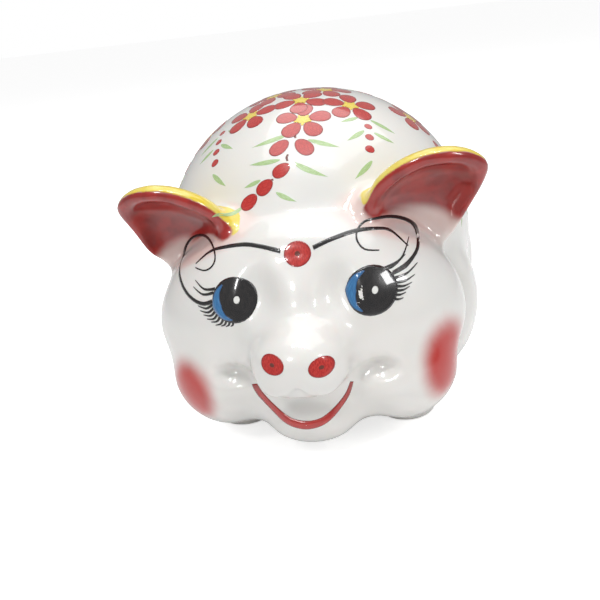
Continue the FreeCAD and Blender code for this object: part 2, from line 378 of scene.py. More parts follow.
places = points_of(skin)
for middle, reach, shift in (
    ((19, -88, 97), (13, 25, 18), (0, 4, -0.5)),     # inner eye socket
    ((35, -86, 95), (17, 20, 17), (0, -1.5, 0)),     # eyeball under the lid
    ((36, -97, 57), (15, 20, 8), (0, 7, 0)),         # dimple at the end of the smile
    ((40, -95, 44), (18, 18, 15), (0, -2.5, 0)),     # cheek
    ((14, -118, 63), (13, 14, 9), (0, -1.5, -3)),    # lobe of the snout
):
    press_pair(places, np.array(middle), np.array(reach), np.array(shift))
for middle, reach, shift in (
    ((0, -94, 92), (15, 30, 24), (0, -2.5, 0)),      # ridge of the nose
    ((0, -78, 122), (42, 25, 12), (0, -2, 1.5)),     # brow
    ((0, -108, 44), (24, 18, 14), (0, 5, 0)),        # mouth, pushed in under the snout
    ((0, -120, 59), (5, 12, 7), (0, 1, 2.5)),        # notch between the lobes
    ((11, -124, 73), (5, 8, 5), (0, 1, 0)),          # nostrils, barely dented
    ((-11, -124, 74), (5, 8, 5), (0, 1, 0)),
    ((0, -86, 114), (3.5, 9, 3.5), (0, 1.2, -0.4)),  # dent under the brow spot
):
    press(places, np.array(middle), np.array(reach), np.array(shift))
move_points(skin, places)
select_only(skin)
apply_modifier(skin, "SMOOTH", factor=0.5, iterations=5)

# %% [markdown]
# ## The inside of the casting
# Slip casting leaves a shell, so the skin gets an inner wall: the frame's own cavity, remeshed coarsely
# because it is only seen through the slot. Where a press came close to it, the inner wall steps back to
# leave three millimetres of clay. The slot, the stopper's seat and its hole are then cut through with
# booleans, from three cutters shaped like the potter's knife cuts.

# %% Inner wall
LEAST_WALL = 3 * MM
CAVITY_VOXEL = 4.5 * MM

cavity.data.remesh_voxel_size = CAVITY_VOXEL
select_only(cavity)
bpy.ops.object.voxel_remesh()
outside = BVHTree.FromObject(skin, bpy.context.evaluated_depsgraph_get())
places = points_of(cavity)
for index, place in enumerate(places):
    nearest, normal, face, distance = outside.find_nearest(Vector(place))
    depth = (nearest - Vector(place)).dot(normal)
    if depth < LEAST_WALL:
        places[index] = nearest - normal * LEAST_WALL
move_points(cavity, places)
edit(cavity)
bpy.ops.mesh.select_all(action="SELECT")
bpy.ops.mesh.normals_make_consistent(inside=True)
done()
select_only(skin, cavity)
bpy.ops.object.join()
size_note(skin)

# %% Cut the slot and the hole


def knife_cut(thing, cutter):
    apply_modifier(thing, "BOOLEAN", operation="DIFFERENCE", object=cutter, solver="EXACT")
    bpy.data.objects.remove(cutter)


bpy.ops.mesh.primitive_cylinder_add(vertices=32, radius=SLOT_HALF[0], depth=60 * MM, location=(0, 0, 0))
slot_knife = bpy.context.object
places = points_of(slot_knife)
places[:, 1] += np.sign(np.round(places[:, 1] / MM, 3)) * (SLOT_HALF[1] - SLOT_HALF[0])
places += (0, slot_centre.y, 0.165)
move_points(slot_knife, places)
knife_cut(skin, slot_knife)

for radius, top in ((SEAT_RADIUS, 7.2 * MM), (HOLE_RADIUS, 30 * MM)):
    bpy.ops.mesh.primitive_cylinder_add(vertices=96, radius=radius, depth=0.1)
    hole_knife = bpy.context.object
    places = points_of(hole_knife)
    places += (0, hole_centre.y, top - 0.05)
    move_points(hole_knife, places)
    knife_cut(skin, hole_knife)

skin.name = skin.data.name = "glazed_pig"
for polygon in skin.data.polygons:
    polygon.use_smooth = True
select_only(skin)
bpy.ops.object.shade_smooth_by_angle(angle=math.radians(50))
for modifier in list(skin.modifiers):
    bpy.ops.object.modifier_apply(modifier=modifier.name)
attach(skin, "bank")
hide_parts("body_shell", *LUTED)
size_note(skin)

# %% [markdown]
# ## Airbrushed colours
# Before the last firing, the cheeks are blushed with an airbrush, the ear cups are sprayed dark red, and
# their top edges are brushed yellow. An airbrush fades softly, so its masks are stored on the mesh's
# points, where they can follow the ears' own shape. The material roughens the brushed edges with noise.

# %% Masks for the blush and the ears


def fade(values, start, end):
    """0 at the start, 1 at the end, with an easy curve between."""
    share = np.clip((values - start) / (end - start), 0, 1)
    return share * share * (3 - 2 * share)


def store_mask(thing, name, values):
    layer = thing.data.attributes.new(name, "FLOAT", "POINT")
    layer.data.foreach_set("value", np.clip(values, 0, 1))
    print(name, "covers", round(float(values.mean()) * 100, 1), "% of the points")


places, normals = points_of(skin), normals_of(skin)
x, y, z = places.T
blush = np.zeros(len(places))
for middle, reach in (((73, -84, 53), (21, 32, 29)), ((-64, -93, 43), (21, 32, 26))):
    distance = np.sqrt((((places / MM - middle) / reach) ** 2).sum(1))
    blush = np.maximum(blush, fade(distance, 1.12, 0.3))
blush *= fade(y, -30 * MM, -42 * MM)

cup_red, edge_yellow, ear_pink = np.zeros(len(places)), np.zeros(len(places)), np.zeros(len(places))
for side in (1, -1):
    middle, along, across, opens = ear_axes(side)
    a, b, c = ((places - middle) @ way / MM for way in (along, across, opens))
    facing = normals @ opens
    oval = (a / 36) ** 2 + (b / 30) ** 2 + (c / 13) ** 2
    own = fade(oval, 1.5, 1.2) * (x * side > 30 * MM) * (z > 80 * MM) * (a > -31)
    # The cup's own wall faces the way it opens, or its upper edge looks down on it
    own_wall = fade(facing + 0.012 * np.clip(-b, -20, 0), 0.0, 0.35)
    under_edge = fade(-(normals @ across), 0.35, 0.65) * fade(c, -4, -1)
    cup = np.maximum(own_wall, under_edge)
    slant = 0.76 * a + 0.65 * b
    cup_red = np.maximum(cup_red, own * cup * fade(slant, -15, -2) * fade(a, -27, -20))
    ear_pink = np.maximum(ear_pink, fade(oval, 2.6, 1.0) * fade(facing, -0.2, 0.2) * fade(slant, -34, -8))
    edge_yellow = np.maximum(edge_yellow, own * fade(1 - cup, 0.3, 0.7) * fade(b, -3, 5) * fade(slant, -5, 1))

store_mask(skin, "blush", blush)
store_mask(skin, "cup_red", cup_red)
store_mask(skin, "ear_pink", ear_pink)
store_mask(skin, "edge_yellow", edge_yellow)

# %% [markdown]
# ## Effects that several finishes share
# Fired glaze is never perfectly flat or even: it flows a little, gathers in hollows and keeps a few
# pinholes. Brushed enamel shows the strokes of its brush and is darker where the stroke ends and the paint
# gathers. Both effects are node groups, so that every colour can use them with its own values.

# %% Node groups for glaze and brush


def node(tree, kind, place, **settings):
    thing = tree.nodes.new(kind)
    thing.location = place
    for name, setting in settings.items():
        setattr(thing, name, setting)
    return thing


def group_of(name, inputs, outputs):
    """A node group with named sockets, and its own input and output nodes."""
    tree = bpy.data.node_groups.new(name, "ShaderNodeTree")
    for socket, kind, value in inputs:
        tree.interface.new_socket(socket, in_out="INPUT", socket_type=kind).default_value = value
    for socket, kind in outputs:
        tree.interface.new_socket(socket, in_out="OUTPUT", socket_type=kind)
    return tree, node(tree, "NodeGroupInput", (-900, 0)), node(tree, "NodeGroupOutput", (900, 0))


FLOAT = "NodeSocketFloat"

flow, flow_in, flow_out = group_of(
    "glaze_flow",
    [("Flow Scale", FLOAT, 45), ("Pinhole Scale", FLOAT, 260), ("Pinholes", FLOAT, 0.3)],
    [("Tone", FLOAT), ("Height", FLOAT), ("Gloss Loss", FLOAT)],
)
where = node(flow, "ShaderNodeTexCoord", (-900, -250))
waves = node(flow, "ShaderNodeTexNoise", (-600, 200))
waves.inputs["Detail"].default_value = 2
clouds = node(flow, "ShaderNodeTexNoise", (-600, -50))
clouds.inputs["Scale"].default_value = 14
clouds.inputs["Detail"].default_value = 5
pits = node(flow, "ShaderNodeTexVoronoi", (-600, -350))
pit_mask = node(flow, "ShaderNodeMapRange", (-300, -350))
pit_mask.inputs["From Min"].default_value = 0.05
pit_mask.inputs["From Max"].default_value = 0.12
pit_mask.inputs["To Min"].default_value = 1
pit_mask.inputs["To Max"].default_value = 0
rare = node(flow, "ShaderNodeTexNoise", (-600, -650))
rare.inputs["Scale"].default_value = 30
rare_mask = node(flow, "ShaderNodeMapRange", (-300, -650))
rare_mask.inputs["From Min"].default_value = 0.6
rare_mask.inputs["From Max"].default_value = 0.7
pit_some = node(flow, "ShaderNodeMath", (0, -450), operation="MULTIPLY")
pit_depth = node(flow, "ShaderNodeMath", (250, -450), operation="MULTIPLY")
height = node(flow, "ShaderNodeMath", (500, 100), operation="SUBTRACT")
for texture in (waves, clouds, pits, rare):
    flow.links.new(where.outputs["Object"], texture.inputs["Vector"])
flow.links.new(flow_in.outputs["Flow Scale"], waves.inputs["Scale"])
flow.links.new(flow_in.outputs["Pinhole Scale"], pits.inputs["Scale"])
flow.links.new(pits.outputs["Distance"], pit_mask.inputs["Value"])
flow.links.new(rare.outputs["Fac"], rare_mask.inputs["Value"])
flow.links.new(pit_mask.outputs["Result"], pit_some.inputs[0])
flow.links.new(rare_mask.outputs["Result"], pit_some.inputs[1])
flow.links.new(pit_some.outputs["Value"], pit_depth.inputs[0])
flow.links.new(flow_in.outputs["Pinholes"], pit_depth.inputs[1])
flow.links.new(waves.outputs["Fac"], height.inputs[0])
flow.links.new(pit_depth.outputs["Value"], height.inputs[1])
flow.links.new(clouds.outputs["Fac"], flow_out.inputs["Tone"])
flow.links.new(height.outputs["Value"], flow_out.inputs["Height"])
flow.links.new(pit_depth.outputs["Value"], flow_out.inputs["Gloss Loss"])

brush, brush_in, brush_out = group_of(
    "brush_marks",
    [("Streak Scale", FLOAT, 6), ("Rim Width", FLOAT, 0.2), ("Across", FLOAT, 3)],
    [("Streaks", FLOAT), ("Rim", FLOAT), ("Height", FLOAT)],
)
own_map = node(brush, "ShaderNodeUVMap", (-900, -250), uv_map="stroke")
centred = node(brush, "ShaderNodeVectorMath", (-650, -250), operation="SUBTRACT")
centred.inputs[1].default_value = (0.5, 0.5, 0)
stretch = node(brush, "ShaderNodeCombineXYZ", (-650, 100))
stretch.inputs["Y"].default_value = 1
stretch.inputs["Z"].default_value = 1
combed = node(brush, "ShaderNodeVectorMath", (-400, 100), operation="MULTIPLY")
hairs = node(brush, "ShaderNodeTexNoise", (-150, 100))
hairs.inputs["Detail"].default_value = 3
radius_out = node(brush, "ShaderNodeVectorMath", (-400, -250), operation="LENGTH")
rim_start = node(brush, "ShaderNodeMath", (-400, -500), operation="SUBTRACT")
rim_start.inputs[0].default_value = 0.5
rim_mask = node(brush, "ShaderNodeMapRange", (0, -250))
rim_mask.inputs["From Max"].default_value = 0.5
thick = node(brush, "ShaderNodeMath", (400, -50), operation="ADD")
brush.links.new(own_map.outputs["UV"], centred.inputs[0])
brush.links.new(brush_in.outputs["Across"], stretch.inputs["X"])
brush.links.new(centred.outputs["Vector"], combed.inputs[0])
brush.links.new(stretch.outputs["Vector"], combed.inputs[1])
brush.links.new(combed.outputs["Vector"], hairs.inputs["Vector"])
brush.links.new(brush_in.outputs["Streak Scale"], hairs.inputs["Scale"])
brush.links.new(centred.outputs["Vector"], radius_out.inputs[0])
brush.links.new(brush_in.outputs["Rim Width"], rim_start.inputs[1])
brush.links.new(rim_start.outputs["Value"], rim_mask.inputs["From Min"])
brush.links.new(radius_out.outputs["Value"], rim_mask.inputs["Value"])
brush.links.new(hairs.outputs["Fac"], thick.inputs[0])
brush.links.new(rim_mask.outputs["Result"], thick.inputs[1])
brush.links.new(hairs.outputs["Fac"], brush_out.inputs["Streaks"])
brush.links.new(rim_mask.outputs["Result"], brush_out.inputs["Rim"])
brush.links.new(thick.outputs["Value"], brush_out.inputs["Height"])
print("node groups:", [tree.name for tree in bpy.data.node_groups])

# %% [markdown]
# ## White glaze
# The body is a milky white glaze over pale clay. Its tone wanders a little in soft random clouds, its gloss
# is a hard clear coat, and the soles, which stood on the kiln shelf, are wiped bare. The airbrushed colours
# lie under the same gloss, so they are mixed into this one material.

# %% White glaze material


def colour_mix(tree, place, under, over, mask, kind="MIX"):
    """Lays one colour over another where the mask says. A colour is a socket or plain numbers."""
    mix = node(tree, "ShaderNodeMix", place, data_type="RGBA", blend_type=kind)
    for socket, colour in ((mix.inputs["A"], under), (mix.inputs["B"], over)):
        if isinstance(colour, tuple):
            socket.default_value = (*colour, 1)
        else:
            tree.links.new(colour, socket)
    tree.links.new(mask, mix.inputs["Factor"])
    return mix.outputs["Result"]


def ranged(tree, place, value, low, high, start=0.0, end=1.0):
    step = node(tree, "ShaderNodeMapRange", place, interpolation_type="SMOOTHSTEP")
    for name, number in (("From Min", low), ("From Max", high), ("To Min", start), ("To Max", end)):
        step.inputs[name].default_value = number
    tree.links.new(value, step.inputs["Value"])
    return step.outputs["Result"]


def new_material(name, roughness, coat):
    material = bpy.data.materials.new(name)
    material.use_nodes = True
    shader = material.node_tree.nodes["Principled BSDF"]
    shader.inputs["Roughness"].default_value = roughness
    shader.inputs["Coat Weight"].default_value = coat
    shader.inputs["Coat Roughness"].default_value = 0.03
    return material, material.node_tree, shader


white, tree, shader = new_material("white_glaze", 0.3, 1)
shader.inputs["Subsurface Weight"].default_value = 0.06
shader.inputs["Subsurface Scale"].default_value = 0.003
use_flow = node(tree, "ShaderNodeGroup", (-900, 0), node_tree=flow)
use_flow.inputs["Flow Scale"].default_value = 38
edge_noise = node(tree, "ShaderNodeTexNoise", (-1400, -500))
edge_noise.inputs["Scale"].default_value = 110
edge_noise.inputs["Detail"].default_value = 4
coordinates = node(tree, "ShaderNodeTexCoord", (-1700, -300))
tree.links.new(coordinates.outputs["Object"], edge_noise.inputs["Vector"])
tone = ranged(tree, (-650, 200), use_flow.outputs["Tone"], 0.3, 0.7)
clay = colour_mix(tree, (-400, 200), (0.80, 0.795, 0.77), (0.84, 0.82, 0.785), tone)


def mask_of(name, place, ragged):
    """A stored mask, its edge broken up by noise."""
    stored = node(tree, "ShaderNodeAttribute", place, attribute_name=name)
    shifted = node(tree, "ShaderNodeMath", (place[0] + 200, place[1]), operation="MULTIPLY_ADD")
    centred_noise = node(tree, "ShaderNodeMath", (place[0], place[1] - 150), operation="SUBTRACT")
    centred_noise.inputs[1].default_value = 0.5
    tree.links.new(edge_noise.outputs["Fac"], centred_noise.inputs[0])
    tree.links.new(centred_noise.outputs["Value"], shifted.inputs[0])
    shifted.inputs[1].default_value = ragged
    tree.links.new(stored.outputs["Fac"], shifted.inputs[2])
    return shifted.outputs["Value"]


pink = ranged(tree, (-700, -200), mask_of("ear_pink", (-1100, -200), 0.1), 0.05, 0.95, 0, 0.55)
sprayed = ranged(tree, (-700, -400), mask_of("blush", (-1100, -400), 0.16), 0.06, 0.95)
ear_red = ranged(tree, (-700, -600), mask_of("cup_red", (-1100, -600), 0.2), 0.08, 0.85)
yellow = ranged(tree, (-700, -800), mask_of("edge_yellow", (-1100, -800), 0.7), 0.3, 0.6)
streaky = ranged(tree, (-700, -1000), edge_noise.outputs["Fac"], 0.35, 0.65)
colour = colour_mix(tree, (-150, 150), clay, (0.80, 0.50, 0.44), pink)
colour = colour_mix(tree, (50, 100), colour, (0.52, 0.018, 0.012), sprayed)
brushed = colour_mix(tree, (0, -600), (0.83, 0.62, 0.03), (0.84, 0.70, 0.14), streaky)
colour = colour_mix(tree, (250, 50), colour, brushed, yellow)
deep_red = colour_mix(tree, (250, -400), (0.26, 0.007, 0.005), (0.40, 0.014, 0.009), streaky)
colour = colour_mix(tree, (450, 0), colour, deep_red, ear_red)
split = node(tree, "ShaderNodeSeparateXYZ", (-1400, 400))
tree.links.new(coordinates.outputs["Object"], split.inputs["Vector"])
bare = ranged(tree, (-650, 500), split.outputs["Z"], 0.0009, 0.0003)
colour = colour_mix(tree, (650, 0), colour, (0.60, 0.52, 0.43), bare)
tree.links.new(colour, shader.inputs["Base Color"])
bare_coat = ranged(tree, (650, 500), bare, 0, 1, 1, 0)
tree.links.new(bare_coat, shader.inputs["Coat Weight"])
rough = node(tree, "ShaderNodeMath", (650, 300), operation="MULTIPLY_ADD")
tree.links.new(bare, rough.inputs[0])
rough.inputs[1].default_value = 0.55
bump = node(tree, "ShaderNodeBump", (650, -300))
bump.inputs["Strength"].default_value = 0.12
bump.inputs["Distance"].default_value = 0.0004
tree.links.new(use_flow.outputs["Height"], bump.inputs["Height"])
pitted = ranged(tree, (400, 300), use_flow.outputs["Gloss Loss"], 0, 1, 0.3, 0.6)
tree.links.new(pitted, rough.inputs[2])
tree.links.new(rough.outputs["Value"], shader.inputs["Roughness"])
tree.links.new(bump.outputs["Normal"], shader.inputs["Normal"])
skin.data.materials.clear()
skin.data.materials.append(white)
print("white glaze:", len(tree.nodes), "nodes")

# %% [markdown]
# ## Painting with enamel
# The flowers, the eyes and every line are enamel, laid on the fired glaze with a brush. Each touch of the
# brush is modelled as a thin dab: a disc is made once, from a circle with inset rings, and each touch is a
# copy of it that is stretched to its shape and dropped on the skin. A line is the same idea with a narrow
# grid. Laying them down by casting rays keeps them at one small height over every bump, and overlapping
# touches lie in thin layers.

# %% The disc and the strip that every touch copies
bpy.ops.object.select_all(action="DESELECT")
bpy.ops.mesh.primitive_circle_add(vertices=28, radius=1, fill_type="NGON")
disc = bpy.context.object
disc.name = "dab_pattern"
edit(disc, "FACE")
bpy.ops.mesh.select_all(action="SELECT")
for thickness in (0.07, 0.15, 0.22, 0.25):
    bpy.ops.mesh.inset(thickness=thickness)
bpy.ops.mesh.poke()
done()

bpy.ops.mesh.primitive_grid_add(x_subdivisions=3, y_subdivisions=40, size=2)
strip = bpy.context.object
strip.name = "line_pattern"
for pattern in (disc, strip):
    flat = points_of(pattern)
    while pattern.data.uv_layers:
        pattern.data.uv_layers.remove(pattern.data.uv_layers[0])
    layer = pattern.data.uv_layers.new(name="stroke")
    for loop in pattern.data.loops:
        layer.data[loop.index].uv = (flat[loop.vertex_index][:2] + 1) / 2
    size_note(pattern)

# %% Laying a touch on the skin
clay_surface = BVHTree.FromObject(skin, bpy.context.evaluated_depsgraph_get())
trunk_middle = Vector((0, 25, 92.5)) * MM
touches = {}
layers = {}


def front_sheet(x, z):
    """A sheet in front of the face: along it is the pig's left, up it is up. Sizes in millimetres."""
    return Vector((x * MM, -0.2, z * MM)), Vector((1, 0, 0)), Vector((0, 0, 1))


def back_sheet(turn, tip):
    """A sheet over the back: a turn to the pig's left and a tip towards its face, in degrees from the top."""
    turn, tip = math.radians(turn), math.radians(tip)
    outward = Vector((math.sin(turn) * math.cos(tip), -math.sin(tip), math.cos(turn) * math.cos(tip)))
    up = Vector((math.sin(turn) * math.sin(tip), math.cos(tip), math.cos(turn) * math.sin(tip)))
    return trunk_middle + outward * 0.12, up.cross(outward), up


def drop(sheet, across, up, lift):
    """Drops one point of a sheet on the skin, and leaves it a little above."""
    middle, right, top = sheet
    inward = top.cross(right)
    start = middle + right * (across * MM) + top * (up * MM)
    hit, normal, face, distance = clay_surface.ray_cast(start, inward)
    if hit is None:
        return None
    return hit + normal * (lift * MM)


def lay(colour, sheet, pattern, shape, lift=0.12):
    """Copies a pattern, bends it by a shape and drops it. Later touches of a colour lie a hair higher."""
    lift += 0.004 * (layers.get(colour, 0) % 12)
    layers[colour] = layers.get(colour, 0) + 1
    touch = pattern.copy()
    touch.data = pattern.data.copy()
    laid = []
    for across, up, height in points_of(pattern):
        place = drop(sheet, *shape(across, up), lift)
        if place is None:
            bpy.data.objects.remove(touch)
            return
        laid.append(place)
    move_points(touch, np.array(laid))
    bpy.context.scene.collection.objects.link(touch)
    touches.setdefault(colour, []).append(touch)


def turned_by(heading, across, up):
    """Turns a place clockwise by a heading in degrees, seen from outside."""
    cos, sin = math.cos(math.radians(heading)), math.sin(math.radians(heading))
    return across * cos + up * sin, up * cos - across * sin


def dab(colour, sheet, width, length, heading=0, taper=0.0, away=0.0, lift=0.12):
    """An oval touch that may be narrower at its near end, at a distance from the middle of its sheet."""

    def shape(across, up):
        narrow = 1 - taper * (1 - up) / 2
        return turned_by(heading, across * width / 2 * narrow, away + up * length / 2)

    lay(colour, sheet, disc, shape, lift)


def leaf(sheet, heading, length, width=4, bend=4):
    """A stroke that starts round, swells and runs out to a point. It bends to one side."""

    def shape(across, up):
        share = (up + 1) / 2
        swell = (1 - share) ** 0.8 * (0.55 + 0.9 * share) * 1.15
        return turned_by(heading, across * width / 2 * swell + bend * share * share, share * length)

    lay("green", sheet, disc, shape, 0.07)


def line(colour, sheet, course, widths, lift=0.1):
    """A line through the places of a course, with a width at its start, its middle and its end."""
    course = [course[0]] + list(course) + [course[-1]]
    spans = len(course) - 3

    def shape(across, up):
        share = (up + 1) / 2
        span = min(int(share * spans), spans - 1)
        step = share * spans - span
        (ax, ay), (bx, by), (cx, cy), (dx, dy) = course[span:span + 4]

        def between(a, b, c, d):
            return 0.5 * (2 * b + (c - a) * step + (2 * a - 5 * b + 4 * c - d) * step ** 2
                          + (3 * b - a - 3 * c + d) * step ** 3)

        def slope(a, b, c, d):
            return 0.5 * ((c - a) + 2 * (2 * a - 5 * b + 4 * c - d) * step
                          + 3 * (3 * b - a - 3 * c + d) * step ** 2)

        px, py = between(ax, bx, cx, dx), between(ay, by, cy, dy)
        tx, ty = slope(ax, bx, cx, dx), slope(ay, by, cy, dy)
        size = math.hypot(tx, ty) or 1
        first, middle, last = widths
        if share < 0.5:
            width = first + (middle - first) * 2 * share
        else:
            width = middle + (last - middle) * (2 * share - 1)
        return px + across * width / 2 * ty / size, py - across * width / 2 * tx / size

    lay(colour, sheet, strip, shape, lift)


# %% [markdown]
# ## The eyes
# Each eye is a black disc with a blue crescent on the same side in both, and a small white light. The
# lashes fan out on the outer side, and the longest sweeps round into a curl that meets the thin brow.

# %% Eyes


def eye(x, z, tilt, size):
    dab("black", front_sheet(x, z), 23.4 * size, 20.8 * size, tilt, lift=0.10)
    crescent = [(-3.4, -8.4), (-7.4, -5.8), (-9.4, -0.6), (-7.8, 5), (-4, 8.2)]
    crescent = [turned_by(tilt, across * size, up * size) for across, up in crescent]
    line("blue", front_sheet(x, z), crescent, (0.5, 5.2 * size, 0.5), lift=0.22)
    dab("white", front_sheet(x + 1.6, z + 0.6), 3.0, 3.4, 8, lift=0.26)


eye(-32, 94.5, -14, 1)
eye(35.5, 95, 8, 1.06)


def lash(middle, angle, way, length, sweep):
    """A lash from the eye's edge at an angle. It leaves along a way and sweeps upwards, all in degrees."""
    root, first, last = (math.radians(turn) for turn in (angle, way, way + sweep))
    start = (11.4 * math.cos(root), 10 * math.sin(root))
    bend = (start[0] + 0.5 * length * math.cos(first), start[1] + 0.45 * length * math.sin(first))
    end = (bend[0] + 0.5 * length * math.cos(last), bend[1] + 0.45 * length * math.sin(last))
    line("black", front_sheet(*middle), [start, bend, end], (1.4, 1.0, 0.3))


for angle, length in ((150, 13), (161, 13), (182, 11), (191, 10), (200, 9.5), (209, 8.5), (218, 8), (227, 7),
                      (237, 6.5), (246, 5), (255, 4), (264, 3)):
    lash((-32, 94.5), angle, 188 + 0.62 * (angle - 150), length, -42)
for angle, way, length in ((84, -12, 17), (58, 18, 18), (34, 14, 15), (22, 8, 13), (11, -3, 10), (2, -12, 8),
                           (-9, -8, 7), (-19, -12, 5.5), (-29, -20, 5)):
    lash((35.5, 95), angle, way, length, 42 if way < 20 and angle > 50 else 24)

face = front_sheet(0, 0)
line("black", face, [(-43, 94), (-50, 92), (-58, 95), (-64.5, 102), (-66, 109), (-61, 115.5), (-53, 118.5),
                     (-46, 117.5), (-42.5, 113), (-43.5, 109), (-48, 106.5), (-54, 107)], (1.9, 1.2, 0.5))
line("black", face, [(46, 101), (53, 103.5), (58.5, 108), (58.5, 114), (53, 119), (44, 122.5), (35, 123.5),
                     (30, 120.5), (29.5, 116.5), (33, 112.5), (40, 111)], (1.9, 1.3, 0.5))
line("black", face, [(-7.5, 115.5), (-17, 117.5), (-27, 118), (-40, 116), (-47, 113.5), (-54, 108.5)],
     (2.0, 1.5, 0.4))
line("black", face, [(8.5, 116), (17, 118.5), (28, 120), (38, 119.5), (46, 117), (54, 110)], (2.0, 1.5, 0.4))

# %% [markdown]
# ## Brow spot, nostrils and smile
# Three round red touches and one broad curved line. Each round touch has a darker ring, where the paint
# gathered, and a darker brown middle, which is painted shade standing in for the shadow in the small dent
# there.

# %% Red touches on the face
for x, z, width, height in ((0.8, 114, 13.4, 11), (-10.5, 74.5, 11.4, 8.6), (12, 72.5, 11.8, 8.8)):
    dab("red", front_sheet(x, z), width, height)
    # The brown middle is painted shade for the shallow dent in each touch
    dab("brown", front_sheet(x, z), width * 0.2, height * 0.2, lift=0.2)
smile = [(-26, 52), (-23.5, 45), (-18.5, 38), (-11, 32.5), (-2, 30.5),
         (7, 32), (14.5, 37), (20, 44), (23, 52)]
line("red", face, smile, (3.4, 4.6, 1.6))

# %% [markdown]
# ## Blossom on the back
# The back carries a bunch of five-petalled flowers round the coin slot, with strings of buds that hang down
# to the brow and the flanks. The front of it follows the real piece; it carries on over the back and the
# rump in the same hand, where the slot leaves room. A petal is a round touch that is narrower towards the
# flower's middle.

# %% Flowers


def flower(turn, tip, heading=0, size=1.0):
    sheet = back_sheet(turn, tip)
    for petal in range(5):
        dab("red", sheet, 11.4 * size, 12 * size, heading + 72 * petal, 0.3, 9.4 * size)
    dab("yellow", sheet, 7.5 * size, 6.5 * size, heading, lift=0.17)
    for petal in range(5):
        dab("yellow", sheet, 1.6 * size, 3.2 * size, heading + 36 + 72 * petal, 0, 3.4 * size, lift=0.2)


def bud(turn, tip, heading=0, width=8.4, length=10.4):
    dab("red", back_sheet(turn, tip), width, length, heading, 0.2)


def stalk(turn, tip, heading, length):
    course = [(0, 0), turned_by(heading, 0.6, length / 2), turned_by(heading, 0, length)]
    line("brown", back_sheet(turn, tip), course, (0.9, 1.3, 0.9), lift=0.09)


def leaves(*each):
    """Leaves, each as turn, tip, heading, length and bend."""
    for turn, tip, heading, length, bend in each:
        leaf(back_sheet(turn, tip), heading, length, 2.4 + length / 9, bend)


for turn, tip, heading in ((2, 31, 0), (0, 17, 38), (-20, 19, 20), (19, 19, -14), (8, 4, 10), (-12, 4, 50)):
    flower(turn, tip, heading)
leaves((-4, 38, -105, 20, 2), (5, 41, 110, 17, -2), (-8, 48, -90, 17, 2), (-1, 50, 130, 19, -4),
       (-20, 53, -95, 10, 1), (-13, 59, 140, 12, -2), (-36, 58, -105, 11, 2))
stalk(0, 37.5, 190, 4)
bud(-8, 43, -125, 9.5, 12)
bud(3.5, 44, 138, 9.5, 12.5)
stalk(-4, 46.5, 185, 4)
for turn, tip, heading in ((-8, 52, -120), (-19, 56, -115), (-31, 58, -105)):
    bud(turn, tip, heading)
stalk(-13, 54.5, -120, 2.5)

# %% Strings of buds on the flanks


def string(side, turn, tip):
    """A string of four small buds with leaves, from a flower down one flank."""
    for step, width in enumerate((4.6, 5, 5.4, 5.8)):
        bud(side * (turn + 2 * step), tip + 5 * step, 170 * side, width, width * 0.8)
    leaves((side * (turn - 3), tip + 2, -140 * side, 11, side),
           (side * (turn + 2), tip + 1, 100 * side, 15, -side),
           (side * (turn + 1), tip + 8, -155 * side, 13, side),
           (side * (turn + 5), tip + 7, 95 * side, 12, -side),
           (side * (turn + 9), tip + 19, 190 * side, 15, side))


string(1, 26, 24)
string(-1, 33, 19)
for side in (1, -1):
    flower(side * 42, 4, 25 * side)
    flower(side * 25, -16, -20 * side)
    flower(side * 48, -20, 10 * side, 0.9)
    flower(side * 24, -38, 30 * side)
    flower(side * 34, -62, 8 * side, 0.9)
    leaves((side * 34, -4, 100 * side, 15, 2 * side), (side * 16, -8, 60 * side, 13, -2 * side),
           (side * 37, -30, 80 * side, 16, 2 * side), (side * 33, -48, 130 * side, 15, -2 * side),
           (side * 58, -8, 105 * side, 15, 2 * side), (side * 14, -68, 20 * side, 13, 2 * side))
    for step, (turn, tip) in enumerate(((56, 9), (63, 12), (70, 14), (77, 15))):
        bud(side * turn, tip, 100 * side, 6.4 - 0.5 * step, 8.4 - 0.6 * step)
        leaves((side * (turn + 2), tip + 3, 140 * side, 11, -2 * side),
               (side * (turn + 1), tip - 3, 60 * side, 11, 2 * side))
    for step, (turn, tip) in enumerate(((60, -26), (68, -29), (76, -31))):
        bud(side * turn, tip, 85 * side, 6.6 - 0.5 * step, 8.6 - 0.6 * step)
        leaves((side * (turn + 2), tip + 4, 125 * side, 11, -2 * side),
               (side * (turn + 1), tip - 3, 50 * side, 11, 2 * side))
flower(0, -59, 0, 0.9)

# %% [markdown]
# ## Fired enamels
# The touches of one colour are joined, given a thickness downwards into the glaze with Solidify, and
# finished in their enamel. Red and green are thin, so they look streaky and darken at the rim; black and
# blue lie thick.

# %% Enamel materials and pieces


def enamel(name, dark, light, rim, streak=6.0, rim_width=0.12, across=3.0):
    material, tree, shader = new_material(name, 0.25, 1)
    marks = node(tree, "ShaderNodeGroup", (-900, 0), node_tree=brush)
    marks.inputs["Streak Scale"].default_value = streak
    marks.inputs["Rim Width"].default_value = rim_width
    marks.inputs["Across"].default_value = across
    streaks = ranged(tree, (-600, 100), marks.outputs["Streaks"], 0.35, 0.68)
    colour = colour_mix(tree, (-300, 100), dark, light, streaks)
    at_rim = ranged(tree, (-600, -150), marks.outputs["Rim"], 0, 1, 0, 0.85)
    colour = colour_mix(tree, (-100, 0), colour, rim, at_rim)
    tree.links.new(colour, shader.inputs["Base Color"])
    bump = node(tree, "ShaderNodeBump", (-300, -350))
    bump.inputs["Strength"].default_value = 0.15
    bump.inputs["Distance"].default_value = 0.0002
    tree.links.new(marks.outputs["Height"], bump.inputs["Height"])
    tree.links.new(bump.outputs["Normal"], shader.inputs["Normal"])
    return material


